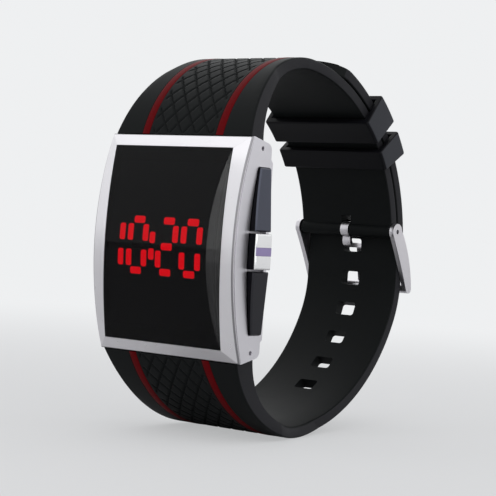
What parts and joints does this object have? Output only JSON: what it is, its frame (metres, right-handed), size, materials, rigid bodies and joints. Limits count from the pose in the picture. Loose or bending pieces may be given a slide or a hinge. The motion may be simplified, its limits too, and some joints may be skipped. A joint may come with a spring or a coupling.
{
  "type": "led wristwatch",
  "caption": "Rectangular LED wristwatch with a curved steel case, side pushers and a buckled silicone strap.",
  "frame": {"origin": "centre of the wrist's loop, on the case's mid-height, 35 mm behind the case's front corners", "axes": "+X towards 3 o'clock and the buttons, +Z towards 12 o'clock, the dial faces -Y"},
  "size_m": [0.04, 0.0778, 0.0831],
  "materials": {
    "case_steel": "satin",
    "bezel_steel": "fine satin with polished edges",
    "lens_tint": "glossy dark tint",
    "seal_rubber": "matte",
    "mask_black": "glossy black",
    "bar_red": "lit red",
    "bar_dark": "unlit",
    "board_black": "matte",
    "tray_black": "matte",
    "board_green": "solder mask",
    "chip_black": "matte",
    "can_steel": "satin",
    "cell_steel": "satin",
    "contact_brass": "plated",
    "back_steel": "brushed",
    "screw_steel": "satin",
    "bar_steel": "satin",
    "strap_silicone": "matte with a diamond relief",
    "stripe_red": "satin",
    "keeper_silicone": "satin",
    "buckle_steel": "satin",
    "button_grey": "dark satin",
    "crown_steel": "polished with a tinted band",
    "stem_spring_steel": "satin"
  },
  "bodies": {
    "watch": {"case_body": "case_steel", "bezel": "bezel_steel", "lens": "lens_tint", "lens_gasket": "seal_rubber", "display_mask": "mask_black", "led_bars_lit": "bar_red", "led_bars_unlit": "bar_dark", "led_board": "board_black", "module_frame": "tray_black", "circuit_board": "board_green", "controller_chip": "chip_black", "quartz_can": "can_steel", "button_cell": "cell_steel", "cell_contact": "contact_brass", "cell_clip": "contact_brass", "switch_contacts": "contact_brass", "case_back": "back_steel", "back_gasket": "seal_rubber", "back_screws": "screw_steel", "lug_spring_bars": "bar_steel", "strap_upper": "strap_silicone", "strap_lower": "strap_silicone", "stripes_upper": "stripe_red", "stripes_lower": "stripe_red", "fixed_keeper": "keeper_silicone", "buckle_pin": "bar_steel"},
    "sliding_keeper": {"sliding_keeper": "keeper_silicone"},
    "buckle_frame": {"buckle_frame": "buckle_steel"},
    "buckle_tongue": {"buckle_tongue": "buckle_steel"},
    "upper_button": {"upper_button": "button_grey", "upper_button_seal": "seal_rubber", "upper_button_clip": "stem_spring_steel", "upper_button_spring": "stem_spring_steel"},
    "crown_button": {"crown_button": "crown_steel", "crown_button_seal": "seal_rubber", "crown_button_clip": "stem_spring_steel", "crown_button_spring": "stem_spring_steel"},
    "lower_button": {"lower_button": "button_grey", "lower_button_seal": "seal_rubber", "lower_button_clip": "stem_spring_steel", "lower_button_spring": "stem_spring_steel"}
  },
  "joints": [
    {"name": "upper_button_press", "type": "slide", "parent": "watch", "child": "upper_button", "axis": [-1, 0, 0], "range_m": [0, 0.0008], "stiffness_N_per_m": 600, "springref_m": -0.001},
    {"name": "crown_button_press", "type": "slide", "parent": "watch", "child": "crown_button", "axis": [-1, 0, 0], "range_m": [0, 0.0008], "stiffness_N_per_m": 600, "springref_m": -0.001},
    {"name": "lower_button_press", "type": "slide", "parent": "watch", "child": "lower_button", "axis": [-1, 0, 0], "range_m": [0, 0.0008], "stiffness_N_per_m": 600, "springref_m": -0.001},
    {"name": "keeper_slide", "type": "hinge", "parent": "watch", "child": "sliding_keeper", "pos_m": [0, -0.011, 0.0008], "axis": [1, 0, 0], "range_deg": [-3, 16]},
    {"name": "buckle_swing", "type": "hinge", "parent": "watch", "child": "buckle_frame", "pos_m": [0, 0.02789, 0.00571], "axis": [1, 0, 0], "range_deg": [0, 5]},
    {"name": "tongue_swing", "type": "hinge", "parent": "buckle_frame", "child": "buckle_tongue", "pos_m": [0, 0.02789, 0.00571], "axis": [1, 0, 0], "range_deg": [0, 3]}
  ]
}
